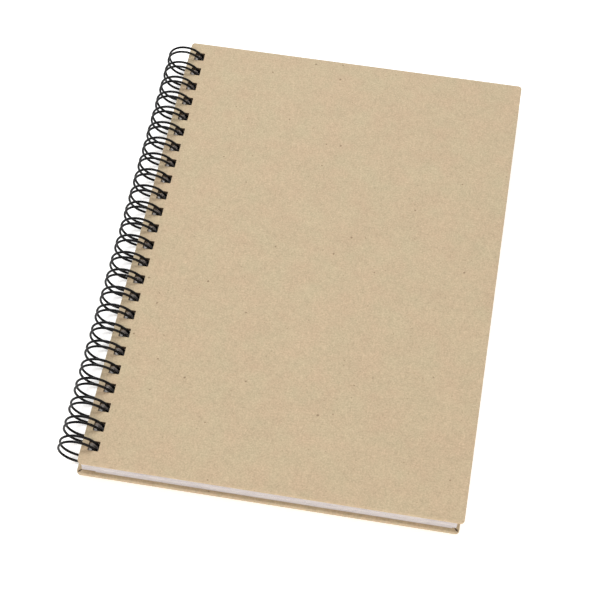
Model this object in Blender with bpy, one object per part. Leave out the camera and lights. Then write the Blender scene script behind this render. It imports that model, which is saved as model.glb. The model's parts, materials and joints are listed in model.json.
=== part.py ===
"""Hardcover sketchbook on a twin-loop wire, closed and lying on its back cover.

Two greyboards wrapped in kraft paper, a block of loose sheets and one continuous wire. The wire's
loops and the square holes they pass through share one axis, and both the front cover and the
sheets turn about it.

The origin is under the middle of the object, +X points from the wire to the fore edge, +Y to the
head of the page and +Z up. Heights and X places below are measured from the wire's axis.
"""

import math

import bmesh
import bpy
from mathutils import Matrix, Vector

# Driving dimensions, in metres.
COVER_LENGTH = 0.2100
COVER_WIDTH = 0.1450
COVER_CORNER_RADIUS = 0.0015
BOARD_THICKNESS = 0.0014
WRAP_THICKNESS = 0.0002
TURN_IN_WIDTH = 0.0120
PASTEDOWN_THICKNESS = 0.00012
PASTEDOWN_END_MARGIN = 0.0015
PASTEDOWN_FORE_MARGIN = 0.0027
HOLE_PITCH = 0.0254 / 3
HOLE_SIZE = 0.0042
HOLE_EDGE_DISTANCE = 0.0027
LEAST_END_MARGIN = 0.0060
BUNDLES = 16
SHEETS_PER_BUNDLE = 3
SHEET_THICKNESS = 0.000112
SHEET_END_RECESS = 0.0013
SHEET_FORE_RECESS = 0.0025
WIRE_DIAMETER = 0.0010
WIRE_RISE = 0.0038
WIRE_BEND_RADIUS = 0.0006

# Clearances, in metres.
GLUE_GAP = 0.00005
PASTEDOWN_HOLE_GAP = 0.0003
BUNDLE_GAP = 0.000025
BLOCK_GAP = 0.00005
SEAM_CLEARANCE = 0.00015
TIP_CLEARANCE = 0.00035
LEG_CLEARANCE = 0.000317
BACK_HOLE_CLEARANCE = 0.0002
FRONT_HOLE_CLEARANCE = 0.00037
SHEET_HOLE_CLEARANCE = 0.00097

# How finely round shapes are divided.
CORNER_STEPS = 3
LEG_STEPS = 18
TIP_STEPS = 4
BEND_STEPS = 2

# Thicknesses that follow from the dimensions.
COVER_THICKNESS = BOARD_THICKNESS + 2 * (WRAP_THICKNESS + GLUE_GAP)
PASTEDOWN_DEPTH = GLUE_GAP + PASTEDOWN_THICKNESS
BUNDLE_THICKNESS = SHEETS_PER_BUNDLE * SHEET_THICKNESS
BUNDLE_PITCH = BUNDLE_THICKNESS + BUNDLE_GAP
BLOCK_THICKNESS = BUNDLES * BUNDLE_PITCH - BUNDLE_GAP
SEAM_GAP = WIRE_DIAMETER + 2 * SEAM_CLEARANCE
BOOK_THICKNESS = 2 * COVER_THICKNESS + PASTEDOWN_DEPTH + BLOCK_GAP + BLOCK_THICKNESS + SEAM_GAP


def crossing(radius, height):
    """X at which a circle about the wire's axis crosses a height."""
    return math.sqrt(radius**2 - height**2)


def front_top_for(radius):
    """Height of the front cover's outer face for loops of this centreline radius."""
    return radius + WIRE_DIAMETER / 2 - WIRE_RISE


def spread_in_back_hole(radius):
    """Width along X that the loops take up between the back cover's two faces."""
    low = front_top_for(radius) - BOOK_THICKNESS
    high = low + COVER_THICKNESS
    return crossing(radius + WIRE_DIAMETER / 2, high) - crossing(radius - WIRE_DIAMETER / 2, low)


def loop_radius():
    """Smallest centreline radius whose loops clear both sides of the back cover's holes."""
    allowed = HOLE_SIZE - 2 * BACK_HOLE_CLEARANCE
    low = (BOOK_THICKNESS + WIRE_RISE) / 2
    high = BOOK_THICKNESS + WIRE_RISE
    for _ in range(60):
        middle = (low + high) / 2
        if spread_in_back_hole(middle) > allowed:
            low = middle
        else:
            high = middle
    return high


# Heights above the wire's axis.
LOOP_RADIUS = loop_radius()
INNER_RADIUS = LOOP_RADIUS - WIRE_DIAMETER / 2
OUTER_RADIUS = LOOP_RADIUS + WIRE_DIAMETER / 2
FRONT_TOP = front_top_for(LOOP_RADIUS)
FRONT_BOTTOM = FRONT_TOP - COVER_THICKNESS
BLOCK_TOP = FRONT_BOTTOM - PASTEDOWN_DEPTH - BLOCK_GAP
BLOCK_BOTTOM = BLOCK_TOP - BLOCK_THICKNESS
BACK_TOP = BLOCK_BOTTOM - SEAM_GAP
BACK_BOTTOM = BACK_TOP - COVER_THICKNESS

# X of each piece's spine edge, set by where the loops pass through its holes.
HOLE_FAR_SIDE = HOLE_EDGE_DISTANCE + HOLE_SIZE
FRONT_SPINE_X = crossing(OUTER_RADIUS, FRONT_BOTTOM) + FRONT_HOLE_CLEARANCE - HOLE_FAR_SIDE
BACK_SPINE_X = crossing(INNER_RADIUS, BACK_BOTTOM) - BACK_HOLE_CLEARANCE - HOLE_EDGE_DISTANCE
SHEET_SPINE_X = OUTER_RADIUS + SHEET_HOLE_CLEARANCE - HOLE_FAR_SIDE
SHEET_FORE_X = FRONT_SPINE_X + COVER_WIDTH - SHEET_FORE_RECESS

# The wire's zigzag, as it would lie unrolled from its cylinder.
LEG_OFFSET = (HOLE_SIZE - WIRE_DIAMETER) / 2 - LEG_CLEARANCE
SEAM_ANGLE = math.asin((BACK_TOP + SEAM_GAP / 2) / LOOP_RADIUS)
TIP_ARC = 2 * math.pi * LOOP_RADIUS - WIRE_DIAMETER - TIP_CLEARANCE


def hole_places():
    """Y of each hole's centre: as many as the cover's length takes, centred on it."""
    room = COVER_LENGTH - 2 * LEAST_END_MARGIN
    count = int(room / HOLE_PITCH) + 1
    return [(index - (count - 1) / 2) * HOLE_PITCH for index in range(count)]


def rounded_outline(left, right, half_length, radius):
    """Outline of a rectangle about the X axis with an arc at each corner."""
    centres = (
        (right - radius, half_length - radius),
        (left + radius, half_length - radius),
        (left + radius, radius - half_length),
        (right - radius, radius - half_length),
    )
    outline = []
    for quarter, (x, y) in enumerate(centres):
        for step in range(CORNER_STEPS + 1):
            angle = (quarter + step / CORNER_STEPS) * math.pi / 2
            outline.append((x + radius * math.cos(angle), y + radius * math.sin(angle)))
    return outline


def square_outline(left, right, low, high):
    return [(left, low), (right, low), (right, high), (left, high)]


def hole_outlines(spine_x):
    """The row of square holes of a piece whose spine edge is at spine_x."""
    left = spine_x + HOLE_EDGE_DISTANCE
    half = HOLE_SIZE / 2
    return [square_outline(left, left + HOLE_SIZE, y - half, y + half) for y in hole_places()]


def plate_mesh(name, outlines, low, high):
    """Flat plate from one height to another; outlines after the first are holes."""
    curve = bpy.data.curves.new(name, "CURVE")
    curve.dimensions = "2D"
    curve.fill_mode = "BOTH"
    curve.extrude = (high - low) / 2
    for outline in outlines:
        spline = curve.splines.new("POLY")
        spline.points.add(len(outline) - 1)
        for point, (x, y) in zip(spline.points, outline):
            point.co = (x, y, 0, 1)
        spline.use_cyclic_u = True
    pattern = bpy.data.objects.new(name, curve)
    mesh = bpy.data.meshes.new_from_object(pattern)
    bpy.data.objects.remove(pattern)
    bpy.data.curves.remove(curve)
    mesh.transform(Matrix.Translation((0, 0, (low + high) / 2)))
    shape = bmesh.new()
    shape.from_mesh(mesh)
    bmesh.ops.remove_doubles(shape, verts=shape.verts, dist=1e-7)
    bmesh.ops.recalc_face_normals(shape, faces=shape.faces)
    shape.to_mesh(mesh)
    shape.free()
    mesh.name = name
    return mesh


def finish(name, color, roughness, metallic=0.0):
    """A material with the colour, roughness and metallic value of one finish."""
    material = bpy.data.materials.new(name)
    material.use_nodes = True
    shader = material.node_tree.nodes["Principled BSDF"]
    shader.inputs["Base Color"].default_value = (*color, 1)
    shader.inputs["Roughness"].default_value = roughness
    shader.inputs["Metallic"].default_value = metallic
    return material


def add_part(name, data, material, axis):
    """Object of a piece, with its origin on the axis that the wire's loops go round."""
    part = bpy.data.objects.new(name, data)
    part.parent = axis
    part.data.materials.clear()
    part.data.materials.append(material)
    bpy.context.scene.collection.objects.link(part)
    return part


def cut(part, cutter_name, mesh):
    """Cuts a mesh out of a part with a Boolean, and keeps the cutter out of renders."""
    cutter = bpy.data.objects.new(cutter_name, mesh)
    cutter.parent = part
    cutter.hide_render = True
    cutter.display_type = "WIRE"
    bpy.context.scene.collection.objects.link(cutter)
    modifier = part.modifiers.new(cutter_name, "BOOLEAN")
    modifier.operation = "DIFFERENCE"
    modifier.object = cutter


def add_cover(side, spine_x, low, inner_side, finishes, axis):
    """One cover: its board, the kraft paper folded round it, and the pastedown on its inner face.

    inner_side is 1 where the inner face is the upper one and -1 where it is the lower one.
    """
    high = low + COVER_THICKNESS
    fore_x = spine_x + COVER_WIDTH
    half_length = COVER_LENGTH / 2
    holes = hole_outlines(spine_x)

    def inset_outline(inset):
        radius = max(COVER_CORNER_RADIUS - inset, COVER_CORNER_RADIUS / 10)
        return rounded_outline(spine_x + inset, fore_x - inset, half_length - inset, radius)

    margin = WRAP_THICKNESS + GLUE_GAP
    board = plate_mesh(side + "_board", [inset_outline(margin), *holes], low + margin, high - margin)
    add_part(side + "_board", board, finishes["board"], axis)

    wrap_mesh = plate_mesh(side + "_wrap", [inset_outline(0), *holes], low, high)
    wrap = add_part(side + "_wrap", wrap_mesh, finishes["kraft"], axis)
    pocket = plate_mesh(
        side + "_pocket", [inset_outline(WRAP_THICKNESS)], low + WRAP_THICKNESS, high - WRAP_THICKNESS
    )
    cut(wrap, side + "_pocket", pocket)
    window_outline = square_outline(
        spine_x + TURN_IN_WIDTH,
        fore_x - TURN_IN_WIDTH,
        TURN_IN_WIDTH - half_length,
        half_length - TURN_IN_WIDTH,
    )
    middle = (low + high) / 2
    beyond = middle + inner_side * COVER_THICKNESS
    window = plate_mesh(side + "_window", [window_outline], min(middle, beyond), max(middle, beyond))
    cut(wrap, side + "_window", window)

    inner_face = high if inner_side > 0 else low
    near = inner_face + inner_side * GLUE_GAP
    far = inner_face + inner_side * PASTEDOWN_DEPTH
    lining_outline = square_outline(
        spine_x + HOLE_FAR_SIDE + PASTEDOWN_HOLE_GAP,
        fore_x - PASTEDOWN_FORE_MARGIN,
        PASTEDOWN_END_MARGIN - half_length,
        half_length - PASTEDOWN_END_MARGIN,
    )
    lining = plate_mesh(side + "_pastedown", [lining_outline], min(near, far), max(near, far))
    add_part(side + "_pastedown", lining, finishes["paper"], axis)


def add_sheets(finishes, axis):
    """The block, top first, in bundles of sheets that lie on each other."""
    half_length = COVER_LENGTH / 2 - SHEET_END_RECESS
    outline = square_outline(SHEET_SPINE_X, SHEET_FORE_X, -half_length, half_length)
    outlines = [outline, *hole_outlines(SHEET_SPINE_X)]
    for index in range(BUNDLES):
        high = BLOCK_TOP - index * BUNDLE_PITCH
        name = f"sheets_{index + 1:02d}"
        add_part(name, plate_mesh(name, outlines, high - BUNDLE_THICKNESS, high), finishes["paper"], axis)


def leg_arcs():
    """Arc lengths from the seam to the points between a leg's two ends.

    The second is level with the back cover's outer face, where the loops come closest to the sides
    of the holes, and the rest are evenly spaced from there.
    """
    level = (SEAM_ANGLE - math.asin(BACK_BOTTOM / LOOP_RADIUS)) * LOOP_RADIUS
    step = (TIP_ARC - LEG_OFFSET - level) / LEG_STEPS
    return [(WIRE_BEND_RADIUS + level) / 2, *(level + step * index for index in range(LEG_STEPS))]


def on_loop(y, arc):
    """Point of the wire that lies an arc length round the axis from the seam.

    Straight pieces join the points, so the points lie a little outside the true circle and the
    pieces' middles as much inside it.
    """
    arcs = leg_arcs()
    half_step = (arcs[-1] - arcs[-2]) / LOOP_RADIUS / 2
    radius = LOOP_RADIUS * 2 / (1 + math.cos(half_step))
    angle = SEAM_ANGLE - arc / LOOP_RADIUS
    return Vector((radius * math.cos(angle), y, radius * math.sin(angle)))


def half_finger(y, side):
    """From the link beside a hole, up one leg of its pair and to the middle of the tip."""
    points = []
    for step in range(BEND_STEPS + 1):
        angle = step / BEND_STEPS * math.pi / 2
        offset = LEG_OFFSET + WIRE_BEND_RADIUS * (1 - math.sin(angle))
        points.append(on_loop(y + side * offset, WIRE_BEND_RADIUS * (1 - math.cos(angle))))
    leg_end = TIP_ARC - LEG_OFFSET
    for arc in leg_arcs():
        points.append(on_loop(y + side * LEG_OFFSET, arc))
    for step in range(TIP_STEPS // 2 + 1):
        angle = step / TIP_STEPS * math.pi
        y_offset = side * LEG_OFFSET * math.cos(angle)
        points.append(on_loop(y + y_offset, leg_end + LEG_OFFSET * math.sin(angle)))
    return points


def wire_points():
    """The whole wire, finger after finger, from its tail end to its head end."""
    points = []
    for y in hole_places():
        points += half_finger(y, -1)
        points += half_finger(y, 1)[-2::-1]
    return points


def add_wire(points, finishes, axis):
    """The wire has four sides, tilted so that its corners lie on its true outer and inner radius."""
    curve = bpy.data.curves.new("twin_loop_wire", "CURVE")
    curve.dimensions = "3D"
    curve.bevel_depth = WIRE_DIAMETER / 2
    curve.bevel_resolution = 0
    curve.use_fill_caps = True
    spline = curve.splines.new("POLY")
    spline.points.add(len(points) - 1)
    for target, point in zip(spline.points, points):
        target.co = (*point, 1)
        target.tilt = math.pi / 4
    add_part("twin_loop_wire", curve, finishes["wire"], axis)


def axis_place(points):
    """Where the wire's axis stands, so that the origin is under the middle of the object."""
    left = min(point.x for point in points) - WIRE_DIAMETER / 2
    right = COVER_WIDTH + max(FRONT_SPINE_X, BACK_SPINE_X)
    lowest = min(point.z for point in points) - WIRE_DIAMETER / 2
    return Vector((-(left + right) / 2, 0, -lowest))


def clear_scene():
    for existing in list(bpy.data.objects):
        bpy.data.objects.remove(existing)


def main():
    clear_scene()
    finishes = {
        "kraft": finish("kraft_paper", (0.597, 0.456, 0.295), 0.85),
        "board": finish("greyboard", (0.330, 0.310, 0.280), 0.90),
        "paper": finish("white_paper", (0.800, 0.780, 0.770), 0.80),
        "wire": finish("black_coated_wire", (0.012, 0.012, 0.014), 0.30),
    }
    points = wire_points()
    axis = bpy.data.objects.new("binding_axis", None)
    axis.location = axis_place(points)
    bpy.context.scene.collection.objects.link(axis)
    add_cover("back_cover", BACK_SPINE_X, BACK_BOTTOM, 1, finishes, axis)
    add_cover("front_cover", FRONT_SPINE_X, FRONT_BOTTOM, -1, finishes, axis)
    add_sheets(finishes, axis)
    add_wire(points, finishes, axis)


main()
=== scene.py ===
"""Looks of a wire-bound hardcover sketchbook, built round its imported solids."""

import json
import math

import bmesh
import bpy
from bpy.props import (
    FloatProperty,
    FloatVectorProperty,
    IntProperty,
    PointerProperty,
)
from mathutils import Matrix, Quaternion, Vector


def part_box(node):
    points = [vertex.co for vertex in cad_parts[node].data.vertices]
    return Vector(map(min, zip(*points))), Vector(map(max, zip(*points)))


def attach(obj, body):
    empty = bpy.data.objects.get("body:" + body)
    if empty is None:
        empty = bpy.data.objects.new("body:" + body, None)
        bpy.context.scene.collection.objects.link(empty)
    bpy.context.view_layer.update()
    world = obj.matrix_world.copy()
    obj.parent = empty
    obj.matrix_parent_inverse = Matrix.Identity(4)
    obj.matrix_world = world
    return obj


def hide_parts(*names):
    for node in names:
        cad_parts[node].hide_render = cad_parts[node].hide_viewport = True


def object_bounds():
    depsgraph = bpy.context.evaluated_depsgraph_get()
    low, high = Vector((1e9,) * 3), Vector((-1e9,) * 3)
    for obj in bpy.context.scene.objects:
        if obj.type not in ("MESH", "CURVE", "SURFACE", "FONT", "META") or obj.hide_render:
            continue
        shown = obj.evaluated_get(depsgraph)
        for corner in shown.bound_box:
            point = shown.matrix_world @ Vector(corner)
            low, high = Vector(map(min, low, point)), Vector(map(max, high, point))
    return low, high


bl_info = {
    "name": "Wire-bound sketchbook",
    "version": (1, 0, 0),
    "blender": (4, 5, 0),
    "location": "View3D > Sidebar > Sketchbook",
    "description": "Kraft covers, punched sheets and twin-loop wire of a hardcover sketchbook",
    "category": "Object",
}

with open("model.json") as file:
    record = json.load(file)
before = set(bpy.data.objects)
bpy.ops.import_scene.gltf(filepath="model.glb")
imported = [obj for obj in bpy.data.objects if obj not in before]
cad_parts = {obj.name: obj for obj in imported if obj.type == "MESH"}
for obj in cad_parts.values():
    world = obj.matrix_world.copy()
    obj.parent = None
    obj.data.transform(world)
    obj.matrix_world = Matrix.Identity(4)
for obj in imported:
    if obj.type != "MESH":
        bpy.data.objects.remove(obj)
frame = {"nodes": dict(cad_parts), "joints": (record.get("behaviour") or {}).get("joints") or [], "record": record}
CAD_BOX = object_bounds()

COVERS = {"front_cover": -1, "back_cover": 1}  # which way each cover's inner face looks
STACKS = sorted(name for name in frame["nodes"] if name.startswith("sheets_"))
WIRE_NODE = "twin_loop_wire"
AXIS = Vector(frame["joints"][0]["pos_m"])  # the wire's middle line, about which all turns

CAMERA_PLACE = Vector((0.06222, -0.37895, 0.57005))
CAMERA_AIM = Vector((-0.09071, 0.53933, -0.83720))
CAMERA_DISTANCE = 0.67
CAMERA_TARGET = CAMERA_PLACE + CAMERA_AIM * CAMERA_DISTANCE
KEY_PLACE = Vector((-0.35, 0.50, 0.95))
KEY_TARGET = Vector((-0.05, 0.05, 0.0))
FRONT_PLACE = Vector((0.30, -0.85, 0.70))
FRONT_TARGET = Vector((0.0, 0.0, 0.01))
HORIZON_HEIGHT = 0.2  # sine of the angle up to which the sky is brighter
FLOOR_GAP = 0.0002  # keeps the floor clear of the wire's lowest points

MERGE_DISTANCE = 1e-7
LINK_MERGE_DISTANCE = 1e-5  # joins the rings where one finger's link meets the next
COVER_SHARP_DEGREES = 40
SHEET_SHARP_DEGREES = 30
WIRE_SHARP_DEGREES = 50
PUNCH_CORNER_STEPS = 3
SHEET_HOLE_CORNER_STEPS = 2
WINDOW_CORNER_STEPS = 2
WINDOW_DEPTH = 1.5  # in thicknesses of the kraft paper, so that the cut goes right through it
LEAST_CORNER_SHARE = 1 / 8  # of the outer corner, where an inset leaves no rounding
FOLD_FADE = 2.2  # how soon the painted highlight of a fold reaches its full strength

# Along and across a mitre's opening, as shares of its length and of half its width.
MITRE_FIRST_LIP = ((0.0, 0.35), (0.35, 1.0))
MITRE_SECOND_LIP = ((0.45, 0.8), (0.0, 0.35))

# Dark specks of kraft paper: cells per metre, share of cells left bare, radius in cells, strength.
COARSE_SPECKS = (170.0, 0.88, 0.095, 0.66)
FINE_SPECKS = (420.0, 0.84, 0.13, 0.38)
SPECK_CORE = 0.6  # share of a speck's radius that is fully dark
SPECK_BEND = 0.0007  # metres by which the specks' outlines may be pulled out of round
HAIR_EDGE = 0.06  # step of the noise over which a hair fades in


# Small helpers for meshes ---------------------------------------------------------------------


def body_of_node(node):
    """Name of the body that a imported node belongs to."""
    bodies = frame["record"]["behaviour"]["bodies"]
    return next(body for body, nodes in bodies.items() if node in nodes)


def rounded_outline(left, right, low, high, radius, steps):
    """Corner points of a rectangle, anticlockwise, with an arc at each corner."""
    centres = (
        (right - radius, high - radius),
        (left + radius, high - radius),
        (left + radius, low + radius),
        (right - radius, low + radius),
    )
    outline = []
    for quarter, (x, y) in enumerate(centres):
        for step in range(steps + 1):
            angle = (quarter + step / steps) * math.pi / 2
            outline.append((x + radius * math.cos(angle), y + radius * math.sin(angle)))
    return outline


def add_ring(shape, outline, height):
    """The outline's points at one height, as new vertices."""
    return [shape.verts.new((x, y, height)) for x, y in outline]


def bridge(shape, lower, upper):
    """Side faces between two rings that run anticlockwise, the lower one first."""
    count = len(lower)
    for index in range(count):
        after = (index + 1) % count
        shape.faces.new((lower[index], lower[after], upper[after], upper[index]))


def prism(shape, outline, low, high):
    """A closed upright prism on an anticlockwise outline."""
    bottom = add_ring(shape, outline, low)
    top = add_ring(shape, outline, high)
    bridge(shape, bottom, top)
    shape.faces.new(bottom[::-1])
    shape.faces.new(top)


def mesh_from(shape, name):
    """A mesh of what a bmesh holds, which is then freed."""
    mesh = bpy.data.meshes.new(name)
    shape.to_mesh(mesh)
    shape.free()
    return mesh


def new_object(name, data):
    """An object of a mesh, curve, light or camera, linked to the scene."""
    thing = bpy.data.objects.new(name, data)
    bpy.context.scene.collection.objects.link(thing)
    return thing


def evaluated_mesh(thing):
    """Plain mesh of an object with its modifiers in it."""
    bpy.context.view_layer.update()
    graph = bpy.context.evaluated_depsgraph_get()
    return bpy.data.meshes.new_from_object(thing.evaluated_get(graph), depsgraph=graph)


def carve(mesh, cutter_meshes):
    """The mesh less each cutter, by exact Booleans."""
    work = new_object("carving", mesh)
    cutters = []
    for cutter_mesh in cutter_meshes:
        cutter = new_object("cutter", cutter_mesh)
        modifier = work.modifiers.new("cut", "BOOLEAN")
        modifier.operation = "DIFFERENCE"
        modifier.object = cutter
        cutters.append(cutter)
    carved = evaluated_mesh(work)
    for thing in (work, *cutters):
        bpy.data.objects.remove(thing)
    return carved


def shade_up_to(mesh, sharp_degrees):
    """Shades smooth, but for the edges sharper than an angle."""
    mesh.shade_smooth()
    mesh.set_sharp_from_angle(angle=math.radians(sharp_degrees))


def tidy_mesh(mesh, sharp_degrees):
    """Merges doubles, turns the faces out and shades smooth up to an angle."""
    shape = bmesh.new()
    shape.from_mesh(mesh)
    bmesh.ops.remove_doubles(shape, verts=shape.verts, dist=MERGE_DISTANCE)
    bmesh.ops.dissolve_degenerate(shape, edges=shape.edges, dist=MERGE_DISTANCE)
    bmesh.ops.recalc_face_normals(shape, faces=shape.faces)
    shape.to_mesh(mesh)
    shape.free()
    shade_up_to(mesh, sharp_degrees)


def set_material(mesh, material):
    mesh.materials.clear()
    mesh.materials.append(material)


def finish_piece(name, mesh, body, nodes):
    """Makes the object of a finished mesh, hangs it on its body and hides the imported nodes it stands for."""
    piece = new_object(name, mesh)
    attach(piece, body)
    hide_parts(*nodes)
    return piece


# Small helpers for node trees -----------------------------------------------------------------


class Tree:
    """A node tree that is written as calls: each node's inputs are given as it is made."""

    def __init__(self, nodes, links):
        self.nodes = nodes
        self.links = links

    def feed(self, socket, value):
        """Links a socket to another one, or sets its value."""
        if isinstance(value, bpy.types.NodeSocket):
            self.links.new(value, socket)
        else:
            socket.default_value = value

    def node(self, kind, inputs=None, **settings):
        made = self.nodes.new(kind)
        for name, value in settings.items():
            setattr(made, name, value)
        for key, value in (inputs or {}).items():
            self.feed(made.inputs[key], value)
        return made

    def math(self, operation, first, second=0.0, clamp=False):
        made = self.node("ShaderNodeMath", {0: first, 1: second}, operation=operation)
        made.use_clamp = clamp
        return made.outputs[0]

    def ramp(self, value, low, high, start=0.0, end=1.0):
        """Value from low to high, mapped to start to end and held there."""
        inputs = {"Value": value, "From Min": low, "From Max": high, "To Min": start, "To Max": end}
        return self.node("ShaderNodeMapRange", inputs).outputs["Result"]

    def mix(self, factor, first, second, blend="MIX"):
        """One colour laid over another. The node's colour sockets are 6, 7 and, coming out, 2."""
        made = self.node("ShaderNodeMix", data_type="RGBA", blend_type=blend)
        for key, value in ((0, factor), (6, first), (7, second)):
            self.feed(made.inputs[key], value)
        return made.outputs[2]

    def noise(self, place, scale, detail=2.0, roughness=0.5):
        inputs = {"Vector": place, "Scale": scale, "Detail": detail, "Roughness": roughness}
        return self.node("ShaderNodeTexNoise", inputs).outputs["Fac"]

    def mapping(self, place, turn=0.0, stretch=(1, 1, 1), shift=(0, 0, 0)):
        inputs = {"Vector": place, "Rotation": (0, 0, turn), "Scale": stretch, "Location": shift}
        return self.node("ShaderNodeMapping", inputs).outputs["Vector"]


def new_material(name):
    """(material, its tree, its Principled shader, Object coordinates)"""
    material = bpy.data.materials.new(name)
    material.use_nodes = True
    tree = Tree(material.node_tree.nodes, material.node_tree.links)
    shader = tree.nodes["Principled BSDF"]
    place = tree.node("ShaderNodeTexCoord").outputs["Object"]
    return material, tree, shader, place


def add_bump(tree, shader, height, strength, distance):
    """Raises the surface by a pattern, over a distance in metres."""
    inputs = {"Height": height, "Strength": strength, "Distance": distance}
    bump = tree.node("ShaderNodeBump", inputs)
    tree.links.new(bump.outputs["Normal"], shader.inputs["Normal"])


def rgba(colour):
    return (*colour, 1.0)


# Materials ------------------------------------------------------------------------------------


def fibre_mask(tree, place, turn, shift, length, width, cover):
    """Short thin hairs lying one way: 1 on a hair, where the noise is over cover, 0 between."""
    stretch = (1 / length, 1 / width, 1 / length)
    along = tree.mapping(place, turn=turn, stretch=stretch, shift=shift)
    hair = tree.noise(along, 1.0, detail=2.0)
    return tree.ramp(hair, cover, cover + HAIR_EDGE)


def speck_mask(tree, place, scale, bare, size):
    """Round specks of all sizes up to one, in a few of the cells: 1 on a speck, 0 between."""
    inputs = {"Vector": place, "Scale": scale}
    cells = tree.node("ShaderNodeTexVoronoi", inputs, voronoi_dimensions="2D")
    chance = tree.node("ShaderNodeSeparateColor", {0: cells.outputs["Color"]}).outputs[0]
    radius = tree.ramp(chance, bare, 1.0, 0.0, size)
    core = tree.math("MULTIPLY", radius, SPECK_CORE)
    speck = tree.ramp(cells.outputs["Distance"], core, radius, 1.0, 0.0)
    return tree.math("MULTIPLY", speck, tree.math("GREATER_THAN", chance, bare))


def kraft_paper(colours):
    """Uncoated recycled kraft paper: cloudy, hairy, with dark specks and a painted highlight on its folds."""
    material, tree, shader, place = new_material("kraft_paper")
    grain = tree.noise(place, 1500.0, detail=2.0, roughness=0.7)
    felt = tree.noise(tree.mapping(place, turn=0.4, stretch=(1.0, 0.6, 1.0)), 700.0, detail=2.0)
    mottle = tree.noise(place, 260.0, detail=2.0)
    clouds = tree.noise(place, 70.0, detail=2.0)
    tone = 0.5
    for pattern, weight in ((grain, 1.50), (felt, 0.50), (mottle, 0.26), (clouds, 0.16)):
        swing = tree.math("SUBTRACT", pattern, 0.5)
        tone = tree.math("ADD", tone, tree.math("MULTIPLY", swing, weight))
    colour = tree.mix(tone, rgba(colours.kraft_dark), rgba(colours.kraft_light))
    tint = tree.noise(tree.mapping(place, shift=(0.31, 0.17, 0.0)), 110.0, detail=3.0)
    tint = tree.mix(tree.ramp(tint, 0.3, 0.7), rgba(colours.kraft_green), rgba(colours.kraft_pink))
    colour = tree.mix(1.0, colour, tint, "MULTIPLY")

    pale = fibre_mask(
        tree, place, turn=0.7, shift=(0.2, 0.4, 0.0), length=0.0030, width=0.00028, cover=0.60
    )
    brown = fibre_mask(
        tree, place, turn=-0.5, shift=(0.7, 0.1, 0.0), length=0.0024, width=0.00026, cover=0.64
    )
    hair = fibre_mask(
        tree, place, turn=1.2, shift=(0.3, 0.6, 0.0), length=0.0034, width=0.00040, cover=0.70
    )
    colour = tree.mix(tree.math("MULTIPLY", pale, 0.16), colour, rgba(colours.fibre_pale))
    colour = tree.mix(tree.math("MULTIPLY", brown, 0.14), colour, rgba(colours.fibre_dark))
    colour = tree.mix(tree.math("MULTIPLY", hair, 0.38), colour, rgba(colours.fibre_dark))

    wobble = tree.node("ShaderNodeTexNoise", {"Vector": place, "Scale": 1500.0}).outputs["Color"]
    inputs = {0: wobble, 1: (SPECK_BEND, SPECK_BEND, SPECK_BEND), 2: place}
    bent = tree.node("ShaderNodeVectorMath", inputs, operation="MULTIPLY_ADD").outputs[0]
    for specks in (COARSE_SPECKS, FINE_SPECKS):
        dark = tree.math("MULTIPLY", speck_mask(tree, bent, *specks[:-1]), specks[-1])
        colour = tree.mix(dark, colour, rgba(colours.fleck))

    # Painted highlight: the outer folds are lightened, broken up by the mottle.
    fold = tree.node("ShaderNodeAttribute", attribute_name="fold").outputs["Fac"]
    fold_highlight = tree.math("MULTIPLY", fold, tree.ramp(mottle, 0.30, 0.62, 0.04, 0.26))
    colour = tree.mix(fold_highlight, colour, rgba(colours.kraft_worn))
    tree.links.new(colour, shader.inputs["Base Color"])

    rough = tree.ramp(grain, 0.2, 0.8, 0.82, 0.96)
    tree.links.new(rough, shader.inputs["Roughness"])
    shader.inputs["Specular IOR Level"].default_value = 0.25
    shader.inputs["Sheen Weight"].default_value = 0.06
    height = tree.math("ADD", tree.math("MULTIPLY", grain, 0.7), tree.math("MULTIPLY", felt, 0.5))
    height = tree.math("ADD", height, tree.math("MULTIPLY", pale, 0.18))
    add_bump(tree, shader, height, strength=0.5, distance=0.00005)
    return material


def greyboard(colours):
    """Pressed grey pulp, layered through its thickness, as a punched wall shows it."""
    material, tree, shader, place = new_material("greyboard")
    layers = tree.noise(tree.mapping(place, stretch=(1, 1, 6)), 700.0, detail=3.0)
    pulp = tree.noise(place, 3200.0, detail=4.0, roughness=0.7)
    tone = tree.math("ADD", tree.math("MULTIPLY", layers, 0.6), tree.math("MULTIPLY", pulp, 0.4))
    # Painted shade: the board's own layered grey-brown, set darker to stand for the shade in the holes and mitre
    # seams.
    colour = tree.mix(tree.ramp(tone, 0.3, 0.7), rgba(colours.board_dark), rgba(colours.board_light))
    tree.links.new(colour, shader.inputs["Base Color"])
    shader.inputs["Roughness"].default_value = 0.93
    shader.inputs["Specular IOR Level"].default_value = 0.2
    add_bump(tree, shader, tone, strength=0.6, distance=0.00008)
    return material


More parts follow.
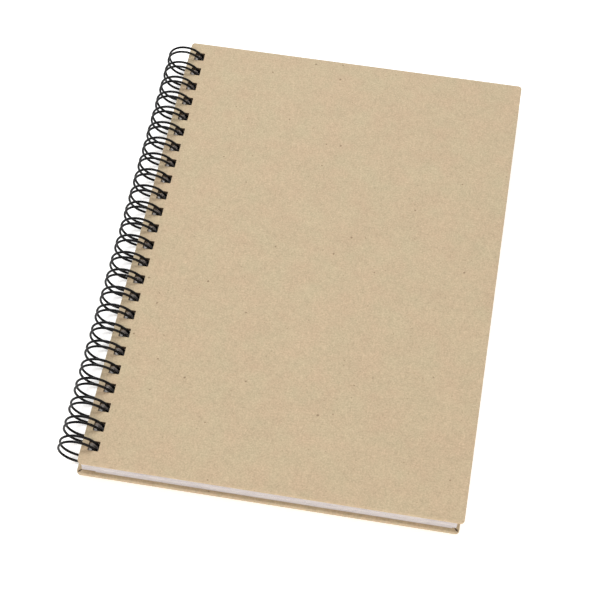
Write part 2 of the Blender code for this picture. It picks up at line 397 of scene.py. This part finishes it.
def drawing_paper(colours):
    """White drawing paper with a fine tooth, faintly cloudy, its cut edges a little darker: painted shade."""
    material, tree, shader, place = new_material("drawing_paper")
    clouds = tree.noise(place, 90.0, detail=3.0)
    tooth = tree.noise(place, 3800.0, detail=3.0, roughness=0.6)
    tone = tree.math("ADD", tree.math("MULTIPLY", clouds, 0.6), tree.math("MULTIPLY", tooth, 0.4))
    colour = tree.mix(tree.ramp(tone, 0.3, 0.7), rgba(colours.paper_shade), rgba(colours.paper_white))
    # Painted shade: faces that turn sideways, the sheets' cut edges, are darkened towards a bluish grey, in lines
    # along the stack.
    facing = tree.node("ShaderNodeTexCoord").outputs["Normal"]
    upward = tree.node("ShaderNodeSeparateXYZ", {0: facing}).outputs["Z"]
    cut = tree.math("SUBTRACT", 1.0, tree.math("ABSOLUTE", upward))
    sheet_lines = tree.noise(tree.mapping(place, stretch=(0.02, 0.02, 1)), 6000.0, detail=1.0)
    edge_shade = tree.math("MULTIPLY", cut, tree.ramp(sheet_lines, 0.35, 0.65, 0.25, 0.85))
    colour = tree.mix(edge_shade, colour, rgba(colours.paper_cut))
    tree.links.new(colour, shader.inputs["Base Color"])
    tree.links.new(tree.ramp(tooth, 0.2, 0.8, 0.74, 0.9), shader.inputs["Roughness"])
    shader.inputs["Specular IOR Level"].default_value = 0.3
    add_bump(tree, shader, tooth, strength=0.4, distance=0.00003)
    return material


def coated_wire(colours):
    """Steel wire in a glossy black nylon coat with a faint orange peel."""
    material, tree, shader, place = new_material("coated_wire")
    peel = tree.noise(place, 1800.0, detail=2.0)
    scuff = tree.noise(tree.mapping(place, shift=(0.5, 0.2, 0.1)), 300.0, detail=4.0, roughness=0.7)
    colour = tree.mix(tree.ramp(scuff, 0.45, 0.75), rgba(colours.wire_black), rgba(colours.wire_scuff))
    tree.links.new(colour, shader.inputs["Base Color"])
    tree.links.new(tree.ramp(scuff, 0.35, 0.75, 0.20, 0.34), shader.inputs["Roughness"])
    shader.inputs["Specular IOR Level"].default_value = 0.14
    add_bump(tree, shader, peel, strength=0.25, distance=0.00004)
    return material


def stage_white(colours):
    """Matt white card with hardly visible tone."""
    material, tree, shader, place = new_material("stage_white")
    tone = tree.noise(place, 9.0, detail=2.0)
    colour = tree.mix(tree.ramp(tone, 0.3, 0.7), rgba(colours.stage_shade), rgba(colours.stage_white))
    tree.links.new(colour, shader.inputs["Base Color"])
    shader.inputs["Roughness"].default_value = 0.9
    shader.inputs["Emission Color"].default_value = (1.0, 1.0, 1.0, 1.0)
    shader.inputs["Emission Strength"].default_value = colours.stage_glow
    return material


def material_named(name):
    """A finish by name, made when it is first asked for."""
    makers = {
        "kraft_paper": kraft_paper,
        "greyboard": greyboard,
        "drawing_paper": drawing_paper,
        "coated_wire": coated_wire,
        "stage_white": stage_white,
    }
    return bpy.data.materials.get(name) or makers[name](bpy.context.scene.sketchbook_colours)


# Covers ---------------------------------------------------------------------------------------


def hole_places(sizes):
    """Y of each hole's centre: as many as the cover takes, centred on it."""
    low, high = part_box("front_cover_wrap")
    room = high[1] - low[1] - 2 * sizes.least_end_margin
    count = int(room / sizes.hole_pitch) + 1
    return [(index - (count - 1) / 2) * sizes.hole_pitch for index in range(count)]


def hole_outline(left, middle_y, sizes, corner_steps):
    """A square hole with rounded corners, from its left side and its middle."""
    half = sizes.hole_size / 2
    right = left + sizes.hole_size
    low_y, high_y = middle_y - half, middle_y + half
    return rounded_outline(left, right, low_y, high_y, sizes.hole_corner_radius, corner_steps)


def inset_outline(left, right, low_y, high_y, inset, sizes):
    """The cover's outline, moved in, with its corners rounded about the same centres."""
    least = sizes.corner_radius * LEAST_CORNER_SHARE
    corner = max(sizes.corner_radius - inset, least)
    return rounded_outline(
        left + inset, right - inset, low_y + inset, high_y - inset, corner, sizes.corner_steps
    )


def folded_block(left, right, low_y, high_y, low, high, sizes):
    """Outer form of a covered board: rounded corners, and a soft fold along all its edges."""
    shape = bmesh.new()
    radius = sizes.fold_radius
    support = radius + sizes.fold_support
    steps = sizes.fold_steps
    profile = [(support, low)]
    for step in range(steps + 1):
        angle = step / steps * math.pi / 2
        profile.append((radius * (1 - math.sin(angle)), low + radius * (1 - math.cos(angle))))
    for step in range(steps + 1):
        angle = step / steps * math.pi / 2
        profile.append((radius * (1 - math.cos(angle)), high - radius * (1 - math.sin(angle))))
    profile.append((support, high))
    rings = []
    for inset, height in profile:
        outline = inset_outline(left, right, low_y, high_y, inset, sizes)
        rings.append(add_ring(shape, outline, height))
    for lower, upper in zip(rings, rings[1:]):
        bridge(shape, lower, upper)
    shape.faces.new(rings[0][::-1])
    shape.faces.new(rings[-1])
    return mesh_from(shape, "folded_block")


def hole_cutter(sizes, spine_x, low, high):
    """The row of punches, a little longer than the cover is thick."""
    shape = bmesh.new()
    left = spine_x + sizes.hole_edge_distance
    for y in hole_places(sizes):
        outline = hole_outline(left, y, sizes, PUNCH_CORNER_STEPS)
        prism(shape, outline, low, high)
    return mesh_from(shape, "punches")


def mitre_cutter(sizes, left, right, low_y, high_y, low, high):
    """Thin seams from the cover's corners to the corners of its lining, each opening at its tip."""
    shape = bmesh.new()
    reach = sizes.turn_in_width * math.sqrt(2)
    tip = sizes.mitre_tip_distance
    half_tip = sizes.mitre_tip_width / 2
    half_seam = sizes.mitre_seam_width / 2
    opening = sizes.mitre_tip_length
    neck = tip + opening
    profile = [(tip + opening * along, -half_tip * across) for along, across in MITRE_FIRST_LIP]
    profile += [(neck, -half_seam), (reach, -half_seam), (reach, half_seam), (neck, half_seam)]
    profile += [(tip + opening * along, half_tip * across) for along, across in MITRE_SECOND_LIP]
    corners = ((left, low_y), (right, low_y), (right, high_y), (left, high_y))
    for quarter, (x, y) in enumerate(corners):
        angle = (quarter + 0.5) * math.pi / 2
        outline = [
            (
                x + along * math.cos(angle) - across * math.sin(angle),
                y + along * math.sin(angle) + across * math.cos(angle),
            )
            for along, across in profile
        ]
        prism(shape, outline, low, high)
    return mesh_from(shape, "mitres")


def mark_folds(mesh, left, right, low_y, high_y, low, high, radius):
    """Writes the attribute that says how near each point is to the middle of an outer fold."""
    attribute = mesh.attributes.new("fold", "FLOAT", "POINT")
    values = []
    for vertex in mesh.vertices:
        x, y, z = vertex.co
        inset = min(x - left, right - x, y - low_y, high_y - y)
        depth = min(z - low, high - z)
        near = max(0.0, 1 - max(inset, depth) / radius)
        values.append(min(1.0, near * FOLD_FADE))
    attribute.data.foreach_set("value", values)


def cover_wrap_mesh(side, inner_side, sizes):
    """Kraft paper folded round a board: outer panel, edges, turn-ins and mitred corners."""
    (left, low_y, low), (right, high_y, high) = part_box(side + "_wrap")
    paper = sizes.wrap_thickness
    over = sizes.cutter_overrun
    block = folded_block(left, right, low_y, high_y, low, high, sizes)

    pocket = bmesh.new()
    outline = inset_outline(left, right, low_y, high_y, paper, sizes)
    prism(pocket, outline, low + paper, high - paper)

    inner_face = high if inner_side > 0 else low
    reach = (inner_face - inner_side * paper * WINDOW_DEPTH, inner_face + inner_side * over)
    window = bmesh.new()
    inset = sizes.turn_in_width
    opening = rounded_outline(
        left + inset,
        right - inset,
        low_y + inset,
        high_y - inset,
        sizes.hole_corner_radius,
        WINDOW_CORNER_STEPS,
    )
    prism(window, opening, min(reach), max(reach))
    punches = hole_cutter(sizes, left, low - over, high + over)
    mitres = mitre_cutter(sizes, left, right, low_y, high_y, min(reach), max(reach))
    mesh = carve(
        block, [mesh_from(pocket, "pocket"), mesh_from(window, "window"), punches, mitres]
    )
    tidy_mesh(mesh, COVER_SHARP_DEGREES)
    mark_folds(mesh, left, right, low_y, high_y, low, high, sizes.fold_radius)
    return mesh


# Sheets ---------------------------------------------------------------------------------------


def sheet_pattern(sizes, node):
    """One punched sheet at the height of the top of its bundle's box."""
    (left, low_y, _), (right, high_y, high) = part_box(node)
    hole_left = left + sizes.hole_edge_distance
    corner = sizes.sheet_corner_radius
    outlines = [rounded_outline(left, right, low_y, high_y, corner, PUNCH_CORNER_STEPS)]
    for y in hole_places(sizes):
        outlines.append(hole_outline(hole_left, y, sizes, SHEET_HOLE_CORNER_STEPS))
    curve = bpy.data.curves.new("sheet_pattern", "CURVE")
    curve.dimensions = "2D"
    curve.fill_mode = "BOTH"
    curve.extrude = sizes.sheet_thickness / 2
    for outline in outlines:
        spline = curve.splines.new("POLY")
        spline.points.add(len(outline) - 1)
        for point, (x, y) in zip(spline.points, outline):
            point.co = (x, y, 0, 1)
        spline.use_cyclic_u = True
    holder = bpy.data.objects.new("sheet_pattern", curve)
    mesh = bpy.data.meshes.new_from_object(holder)
    bpy.data.objects.remove(holder)
    bpy.data.curves.remove(curve)
    mesh.transform(Matrix.Translation((0, 0, high - sizes.sheet_thickness / 2)))
    tidy_mesh(mesh, SHEET_SHARP_DEGREES)
    return mesh


def new_group_input(group, name, kind):
    """Adds a named input to a node group and gives its identifier."""
    return group.interface.new_socket(name=name, in_out="INPUT", socket_type=kind).identifier


def stack_group():
    """Geometry Nodes that lay copies of a sheet under each other, each slipped a little."""
    group = bpy.data.node_groups.new("stack_of_sheets", "GeometryNodeTree")
    keys = {
        "Sheet": new_group_input(group, "Sheet", "NodeSocketGeometry"),
        "Count": new_group_input(group, "Count", "NodeSocketInt"),
        "Pitch": new_group_input(group, "Pitch", "NodeSocketFloat"),
        "Slip": new_group_input(group, "Slip", "NodeSocketVector"),
        "Seed": new_group_input(group, "Seed", "NodeSocketInt"),
        "Material": new_group_input(group, "Material", "NodeSocketMaterial"),
    }
    group.interface.new_socket(name="Stack", in_out="OUTPUT", socket_type="NodeSocketGeometry")
    tree = Tree(group.nodes, group.links)
    given = tree.node("NodeGroupInput").outputs
    step = tree.node("ShaderNodeCombineXYZ", {"Z": tree.math("MULTIPLY", given["Pitch"], -1.0)})
    line = tree.node("GeometryNodeMeshLine", {"Count": given["Count"], "Offset": step.outputs[0]})
    inputs = {"Points": line.outputs["Mesh"], "Instance": given["Sheet"]}
    copies = tree.node("GeometryNodeInstanceOnPoints", inputs)
    back = tree.node("ShaderNodeVectorMath", {0: given["Slip"], "Scale": -1.0}, operation="SCALE")
    chance = tree.node("FunctionNodeRandomValue", data_type="FLOAT_VECTOR")
    tree.links.new(back.outputs[0], chance.inputs[0])
    tree.links.new(given["Slip"], chance.inputs[1])
    tree.links.new(given["Seed"], chance.inputs["Seed"])
    inputs = {"Instances": copies.outputs["Instances"], "Translation": chance.outputs[0]}
    slipped = tree.node("GeometryNodeTranslateInstances", inputs)
    real = tree.node("GeometryNodeRealizeInstances", {"Geometry": slipped.outputs["Instances"]})
    inputs = {"Geometry": real.outputs[0], "Material": given["Material"]}
    painted = tree.node("GeometryNodeSetMaterial", inputs)
    tree.node("NodeGroupOutput", {0: painted.outputs[0]})
    return group, keys


def grown_mesh(mesh_or_curve, group, keys, values, name):
    """Plain mesh that a Geometry Nodes tree makes from a mesh or a curve."""
    seedling = new_object(name + "_source", mesh_or_curve)
    modifier = seedling.modifiers.new("grow", "NODES")
    modifier.node_group = group
    for key, value in values.items():
        modifier[keys[key]] = value
    mesh = evaluated_mesh(seedling)
    seedling.modifiers.remove(modifier)
    bpy.data.objects.remove(seedling)
    return mesh


# Wire -----------------------------------------------------------------------------------------


def finger_points(sizes):
    """Centreline of one finger, from the middle of one link to the middle of the next.

    The finger is drawn flat, along Y and along the arc from the seam, and then rolled up.
    """
    radius = (sizes.loop_inner_diameter + sizes.wire_diameter) / 2
    block_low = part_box(STACKS[-1])[0][2]
    back_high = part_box("back_cover_wrap")[1][2]
    seam = math.asin(((block_low + back_high) / 2 - AXIS[2]) / radius)
    leg = (sizes.hole_size - sizes.wire_diameter) / 2 - sizes.leg_clearance
    bend = sizes.wire_bend_radius
    tip = 2 * math.pi * radius - sizes.wire_diameter - sizes.tip_clearance
    flat = [(-sizes.hole_pitch / 2, 0.0)]
    for step in range(sizes.bend_steps + 1):
        angle = step / sizes.bend_steps * math.pi / 2
        flat.append((-leg - bend * (1 - math.sin(angle)), bend * (1 - math.cos(angle))))
    leg_end = tip - leg
    for step in range(1, sizes.leg_steps):
        flat.append((-leg, bend + (leg_end - bend) * step / sizes.leg_steps))
    for step in range(sizes.bend_steps + 1):
        angle = step / sizes.bend_steps * math.pi / 2
        flat.append((-leg * math.cos(angle), leg_end + leg * math.sin(angle)))
    flat += [(-y, arc) for y, arc in flat[-2::-1]]
    points = []
    for y, arc in flat:
        angle = seam - arc / radius
        points.append((AXIS[0] + radius * math.cos(angle), y, AXIS[2] + radius * math.sin(angle)))
    return points


def finger_curve(points):
    """The centreline as a curve, which the nodes sweep."""
    curve = bpy.data.curves.new("wire_finger", "CURVE")
    curve.dimensions = "3D"
    spline = curve.splines.new("POLY")
    spline.points.add(len(points) - 1)
    for target, point in zip(spline.points, points):
        target.co = (*point, 1)
    return curve


def wire_group():
    """Geometry Nodes that sweep a finger, repeat it along the spine and join its links."""
    group = bpy.data.node_groups.new("row_of_fingers", "GeometryNodeTree")
    keys = {
        "Finger": new_group_input(group, "Finger", "NodeSocketGeometry"),
        "Fingers": new_group_input(group, "Fingers", "NodeSocketInt"),
        "Pitch": new_group_input(group, "Pitch", "NodeSocketFloat"),
        "First": new_group_input(group, "First", "NodeSocketFloat"),
        "Wire Diameter": new_group_input(group, "Wire Diameter", "NodeSocketFloat"),
        "Sides": new_group_input(group, "Sides", "NodeSocketInt"),
        "Material": new_group_input(group, "Material", "NodeSocketMaterial"),
    }
    group.interface.new_socket(name="Wire", in_out="OUTPUT", socket_type="NodeSocketGeometry")
    tree = Tree(group.nodes, group.links)
    given = tree.node("NodeGroupInput").outputs
    radius = tree.math("MULTIPLY", given["Wire Diameter"], 0.5)
    inputs = {"Resolution": given["Sides"], "Radius": radius}
    section = tree.node("GeometryNodeCurvePrimitiveCircle", inputs)
    inputs = {"Curve": given["Finger"], "Profile Curve": section.outputs["Curve"]}
    swept = tree.node("GeometryNodeCurveToMesh", inputs)
    step = tree.node("ShaderNodeCombineXYZ", {"Y": given["Pitch"]})
    start = tree.node("ShaderNodeCombineXYZ", {"Y": given["First"]})
    inputs = {
        "Count": given["Fingers"],
        "Start Location": start.outputs[0],
        "Offset": step.outputs[0],
    }
    line = tree.node("GeometryNodeMeshLine", inputs)
    inputs = {"Points": line.outputs["Mesh"], "Instance": swept.outputs["Mesh"]}
    row = tree.node("GeometryNodeInstanceOnPoints", inputs)
    real = tree.node("GeometryNodeRealizeInstances", {"Geometry": row.outputs["Instances"]})
    inputs = {"Geometry": real.outputs[0], "Distance": LINK_MERGE_DISTANCE}
    joined = tree.node("GeometryNodeMergeByDistance", inputs)
    inputs = {"Geometry": joined.outputs[0], "Material": given["Material"]}
    painted = tree.node("GeometryNodeSetMaterial", inputs)
    tree.node("NodeGroupOutput", {0: painted.outputs[0]})
    return group, keys


def close_ends(mesh):
    """Caps the wire's two cut ends."""
    shape = bmesh.new()
    shape.from_mesh(mesh)
    open_edges = [edge for edge in shape.edges if edge.is_boundary]
    bmesh.ops.holes_fill(shape, edges=open_edges, sides=0)
    bmesh.ops.recalc_face_normals(shape, faces=shape.faces)
    shape.to_mesh(mesh)
    shape.free()
    shade_up_to(mesh, WIRE_SHARP_DEGREES)


# What a user can change -----------------------------------------------------------------------


def amount(name, description, default, **settings):
    """A number from 0 up."""
    return FloatProperty(
        name=name, description=description, default=default, min=0.0, **settings
    )


def metres(name, description, default):
    """A length in metres."""
    return amount(name, description, default, precision=5, unit="LENGTH")


def watts(name, description, default):
    """A light's power in watts."""
    return amount(name, description, default, unit="POWER")


def whole_number(name, description, default):
    """A whole number from 1 up."""
    return IntProperty(name=name, description=description, default=default, min=1)


def swatch(name, description, default):
    """A colour in linear light."""
    return FloatVectorProperty(
        name=name,
        description=description,
        default=default,
        min=0.0,
        max=1.0,
        size=3,
        subtype="COLOR",
    )


class SketchbookSizes(bpy.types.PropertyGroup):
    """Sizes of the covers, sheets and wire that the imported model's boxes don't give"""

    hole_pitch: metres("Hole Pitch", "Distance between neighbouring holes", 0.0254 / 3)
    hole_size: metres("Hole Size", "Side of the square holes", 0.0042)
    hole_edge_distance: metres("Hole Edge Distance", "From the spine edge to the holes", 0.0027)
    hole_corner_radius: metres("Hole Corner Radius", "Rounding of the holes' corners", 0.0003)
    least_end_margin: metres("Least End Margin", "Least distance from an end to a hole's middle", 0.006)
    corner_radius: metres("Cover Corner Radius", "Rounding of the covers' corners", 0.0015)
    fold_radius: metres("Fold Radius", "Rounding of the kraft paper over the boards' edges", 0.0005)
    fold_support: metres("Fold Support", "Flat border that keeps the fold's shading to itself", 0.0002)
    wrap_thickness: metres("Kraft Thickness", "Thickness of the kraft paper", 0.0002)
    turn_in_width: metres("Turn-in Width", "Width of the kraft paper turned in over the board", 0.012)
    mitre_tip_distance: metres("Mitre Start", "From a cover's corner to the start of its seam", 0.0008)
    mitre_tip_length: metres("Mitre Opening Length", "Length of the seam's opening at its tip", 0.0022)
    mitre_tip_width: metres("Mitre Opening Width", "Width of the seam's opening at its tip", 0.0009)
    mitre_seam_width: metres("Mitre Seam Width", "Width of the seam between two turn-ins", 0.00012)
    cutter_overrun: metres("Cutter Overrun", "How far a cutter stands out of what it cuts", 0.001)
    sheet_thickness: metres("Sheet Thickness", "Thickness of one sheet", 0.000104)
    sheet_corner_radius: metres("Sheet Corner Radius", "Rounding of the sheets' corners", 0.0002)
    sheet_slip: metres("Sheet Slip", "How far a sheet may lie from its place in the block", 0.00012)
    wire_diameter: metres("Wire Diameter", "Diameter of the coated wire", 0.001)
    wire_bend_radius: metres("Wire Bend Radius", "Bend between a link and a leg", 0.0006)
    leg_clearance: metres("Leg Clearance", "From a leg to the side of its hole", 0.000317)
    tip_clearance: metres("Tip Clearance", "From a finger's tip to the seam's links", 0.00035)
    loop_inner_diameter: metres("Loop Inner Diameter", "Inner diameter of the wire's loops", 0.014508)
    sheets_per_bundle: whole_number("Sheets per Bundle", "Sheets that turn together", 3)
    corner_steps: whole_number("Corner Steps", "Divisions of a cover's corner", 8)
    fold_steps: whole_number("Fold Steps", "Divisions of a fold", 5)
    leg_steps: whole_number("Leg Steps", "Divisions of a finger's leg", 56)
    bend_steps: whole_number("Bend Steps", "Divisions of a bend", 6)
    wire_sides: whole_number("Wire Sides", "Sides of the wire's section", 12)


class SketchbookColours(bpy.types.PropertyGroup):
    """Colours of the finishes, as linear light"""

    kraft_light: swatch("Kraft Light", "Palest kraft tone", (0.640, 0.515, 0.355))
    kraft_dark: swatch("Kraft Dark", "Darkest kraft tone", (0.392, 0.314, 0.214))
    kraft_green: swatch("Kraft Green", "Tint of the kraft paper's greenish clouds", (0.970, 1.000, 0.975))
    kraft_pink: swatch("Kraft Pink", "Tint of the kraft paper's pinkish clouds", (1.0, 0.964, 0.953))
    # Painted highlight along the covers' folded edges.
    kraft_worn: swatch("Kraft Fold Highlight", "Paler tone of the folds, a painted highlight", (0.640, 0.545, 0.410))
    fibre_pale: swatch("Pale Fibre", "Pale hairs in the kraft paper", (0.720, 0.590, 0.420))
    fibre_dark: swatch("Dark Fibre", "Brown hairs in the kraft paper", (0.360, 0.245, 0.140))
    fleck: swatch("Fleck", "Dark specks in the kraft paper", (0.190, 0.125, 0.075))
    # Painted shade: both board tones are set darker for the holes and mitre seams where the board shows.
    board_light: swatch("Board Light", "Palest greyboard tone", (0.170, 0.130, 0.095))
    board_dark: swatch("Board Dark", "Darkest greyboard tone", (0.080, 0.058, 0.042))
    paper_white: swatch("Paper White", "Drawing paper", (0.850, 0.830, 0.828))
    paper_shade: swatch("Paper Shade", "Darker clouds of the drawing paper", (0.815, 0.796, 0.797))
    # Painted shade on the sheets' cut edges, which face sideways.
    paper_cut: swatch("Paper Edge Shade", "Cut edges of the sheets", (0.385, 0.370, 0.430))
    wire_black: swatch("Wire Black", "Nylon coat of the wire", (0.003, 0.003, 0.0035))
    wire_scuff: swatch("Wire Scuff", "Rubbed places of the coat", (0.010, 0.010, 0.011))
    stage_white: swatch("Stage White", "Floor", (0.93, 0.93, 0.93))
    stage_shade: swatch("Stage Shade", "Darker tone of the floor", (0.92, 0.92, 0.92))
    stage_glow: amount("Stage Glow", "Light from under the floor", 0.46)


class SketchbookStage(bpy.types.PropertyGroup):
    """Floor, light and camera"""

    floor_size: metres("Floor Size", "Side of the square floor", 80.0)
    sky_strength: amount("Sky Strength", "Light from all round", 0.56)
    horizon_strength: amount("Horizon Strength", "Light from near the horizon", 1.0)
    key_power: watts("Key Power", "Soft light overhead", 7.2)
    key_colour: swatch("Key Colour", "Colour of the overhead light", (0.955, 0.990, 1.0))
    key_size: metres("Key Size", "Side of the overhead light", 0.5)
    front_power: watts("Front Power", "Soft light in front of the tail", 4.6)
    front_size: metres("Front Size", "Side of the front light", 0.6)
    front_colour: swatch("Front Colour", "Colour of the front light", (1.0, 0.82, 0.66))
    lens: FloatProperty(
        name="Lens", description="Focal length in millimetres", default=101.13, min=1.0
    )
    roll: FloatProperty(
        name="Roll",
        description="Turn of the camera about its view",
        default=0.0058,
        subtype="ANGLE",
    )


# Operators ------------------------------------------------------------------------------------


class SKETCHBOOK_OT_covers(bpy.types.Operator):
    """Make the kraft-covered boards, their linings and the punched holes"""

    bl_idname = "sketchbook.covers"
    bl_label = "Make Covers"

    def execute(self, context):
        sizes = context.scene.sketchbook_sizes
        for side, inner_side in COVERS.items():
            mesh = cover_wrap_mesh(side, inner_side, sizes)
            set_material(mesh, material_named("kraft_paper"))
            node = side + "_wrap"
            finish_piece(side + "_kraft", mesh, body_of_node(node), [node])
            set_material(frame["nodes"][side + "_board"].data, material_named("greyboard"))
            set_material(frame["nodes"][side + "_pastedown"].data, material_named("drawing_paper"))
        return {"FINISHED"}


class SKETCHBOOK_OT_sheets(bpy.types.Operator):
    """Make every sheet of drawing paper, one stack for each bundle that turns"""

    bl_idname = "sketchbook.sheets"
    bl_label = "Make Sheets"

    def execute(self, context):
        sizes = context.scene.sketchbook_sizes
        group, keys = stack_group()
        for index, node in enumerate(STACKS):
            low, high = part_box(node)
            room = high[2] - low[2] - sizes.sheet_thickness
            values = {
                "Count": sizes.sheets_per_bundle,
                "Pitch": room / max(1, sizes.sheets_per_bundle - 1),
                "Slip": (sizes.sheet_slip, sizes.sheet_slip, 0.0),
                "Seed": index,
                "Material": material_named("drawing_paper"),
            }
            mesh = grown_mesh(sheet_pattern(sizes, node), group, keys, values, node)
            finish_piece(node.replace("sheets", "stack"), mesh, body_of_node(node), [node])
        return {"FINISHED"}


class SKETCHBOOK_OT_wire(bpy.types.Operator):
    """Make the twin-loop wire"""

    bl_idname = "sketchbook.wire"
    bl_label = "Make Wire"

    def execute(self, context):
        sizes = context.scene.sketchbook_sizes
        places = hole_places(sizes)
        group, keys = wire_group()
        values = {
            "Fingers": len(places),
            "Pitch": sizes.hole_pitch,
            "First": places[0],
            "Wire Diameter": sizes.wire_diameter,
            "Sides": sizes.wire_sides,
            "Material": material_named("coated_wire"),
        }
        mesh = grown_mesh(finger_curve(finger_points(sizes)), group, keys, values, "wire")
        close_ends(mesh)
        finish_piece("twin_loops", mesh, body_of_node(WIRE_NODE), [WIRE_NODE])
        return {"FINISHED"}


def add_area_light(name, place, target, size, energy, tint):
    """A square soft light that looks at a point."""
    light = bpy.data.lights.new(name, "AREA")
    light.shape = "SQUARE"
    light.size = size
    light.energy = energy
    light.color = tint
    lamp = new_object(name, light)
    lamp.location = place
    lamp.rotation_euler = (target - place).to_track_quat("-Z", "Y").to_euler()


def add_floor(size):
    """A square floor just under the object."""
    half = size / 2
    shape = bmesh.new()
    corners = ((-half, -half), (half, -half), (half, half), (-half, half))
    shape.faces.new([shape.verts.new((x, y, 0)) for x, y in corners])
    floor_mesh = mesh_from(shape, "floor")
    set_material(floor_mesh, material_named("stage_white"))
    floor = new_object("floor", floor_mesh)
    floor.location.z = CAD_BOX[0][2] - FLOOR_GAP


def new_camera(stage):
    """The camera, looking down over the object's tail."""
    camera_data = bpy.data.cameras.new("camera")
    camera_data.lens = stage.lens
    camera_data.sensor_width = 36.0
    camera_data.clip_start = 0.01
    camera_data.clip_end = 2 * stage.floor_size
    camera = new_object("camera", camera_data)
    camera.rotation_mode = "QUATERNION"
    camera.location = CAMERA_PLACE
    aim = (CAMERA_TARGET - CAMERA_PLACE).to_track_quat("-Z", "Y")
    camera.rotation_quaternion = aim @ Quaternion((0, 0, 1), stage.roll)
    return camera


def studio_world(stage):
    """White light from all round, a little brighter near the horizon, where it meets the floor."""
    world = bpy.data.worlds.new("studio")
    world.use_nodes = True
    tree = Tree(world.node_tree.nodes, world.node_tree.links)
    direction = tree.node("ShaderNodeTexCoord").outputs["Generated"]
    height = tree.node("ShaderNodeSeparateXYZ", {0: direction}).outputs["Z"]
    strength = tree.ramp(
        height, 0.0, HORIZON_HEIGHT, stage.horizon_strength, stage.sky_strength
    )
    sky = tree.nodes["Background"]
    sky.inputs["Color"].default_value = (1.0, 1.0, 1.0, 1.0)
    tree.links.new(strength, sky.inputs["Strength"])
    return world


class SKETCHBOOK_OT_stage(bpy.types.Operator):
    """Make the floor, the soft light and the camera"""

    bl_idname = "sketchbook.stage"
    bl_label = "Make Stage"

    def execute(self, context):
        scene = context.scene
        stage = scene.sketchbook_stage
        scene.view_settings.view_transform = "Standard"
        add_floor(stage.floor_size)
        scene.world = studio_world(stage)
        add_area_light(
            "key", KEY_PLACE, KEY_TARGET, stage.key_size, stage.key_power, stage.key_colour
        )
        add_area_light(
            "front",
            FRONT_PLACE,
            FRONT_TARGET,
            stage.front_size,
            stage.front_power,
            stage.front_colour,
        )
        scene.camera = new_camera(stage)
        return {"FINISHED"}


class SKETCHBOOK_PT_panel(bpy.types.Panel):
    """The sketchbook's steps and sizes"""

    bl_label = "Sketchbook"
    bl_idname = "SKETCHBOOK_PT_panel"
    bl_space_type = "VIEW_3D"
    bl_region_type = "UI"
    bl_category = "Sketchbook"

    def draw(self, context):
        for operator in OPERATORS:
            self.layout.operator(operator.bl_idname)
        for group in ("sketchbook_sizes", "sketchbook_colours", "sketchbook_stage"):
            values = getattr(context.scene, group)
            box = self.layout.box()
            for name in values.bl_rna.properties.keys():
                if name not in ("rna_type", "name"):
                    box.prop(values, name)


OPERATORS = (
    SKETCHBOOK_OT_covers,
    SKETCHBOOK_OT_sheets,
    SKETCHBOOK_OT_wire,
    SKETCHBOOK_OT_stage,
)
GROUPS = {
    "sketchbook_sizes": SketchbookSizes,
    "sketchbook_colours": SketchbookColours,
    "sketchbook_stage": SketchbookStage,
}


def register():
    for name, group in GROUPS.items():
        bpy.utils.register_class(group)
        setattr(bpy.types.Scene, name, PointerProperty(type=group))
    for operator in OPERATORS:
        bpy.utils.register_class(operator)
    bpy.utils.register_class(SKETCHBOOK_PT_panel)


def unregister():
    bpy.utils.unregister_class(SKETCHBOOK_PT_panel)
    for operator in reversed(OPERATORS):
        bpy.utils.unregister_class(operator)
    for name, group in GROUPS.items():
        delattr(bpy.types.Scene, name)
        bpy.utils.unregister_class(group)


def main():
    register()
    bpy.ops.sketchbook.stage()
    bpy.ops.sketchbook.covers()
    bpy.ops.sketchbook.sheets()
    bpy.ops.sketchbook.wire()


if __name__ == "__main__":
    main()
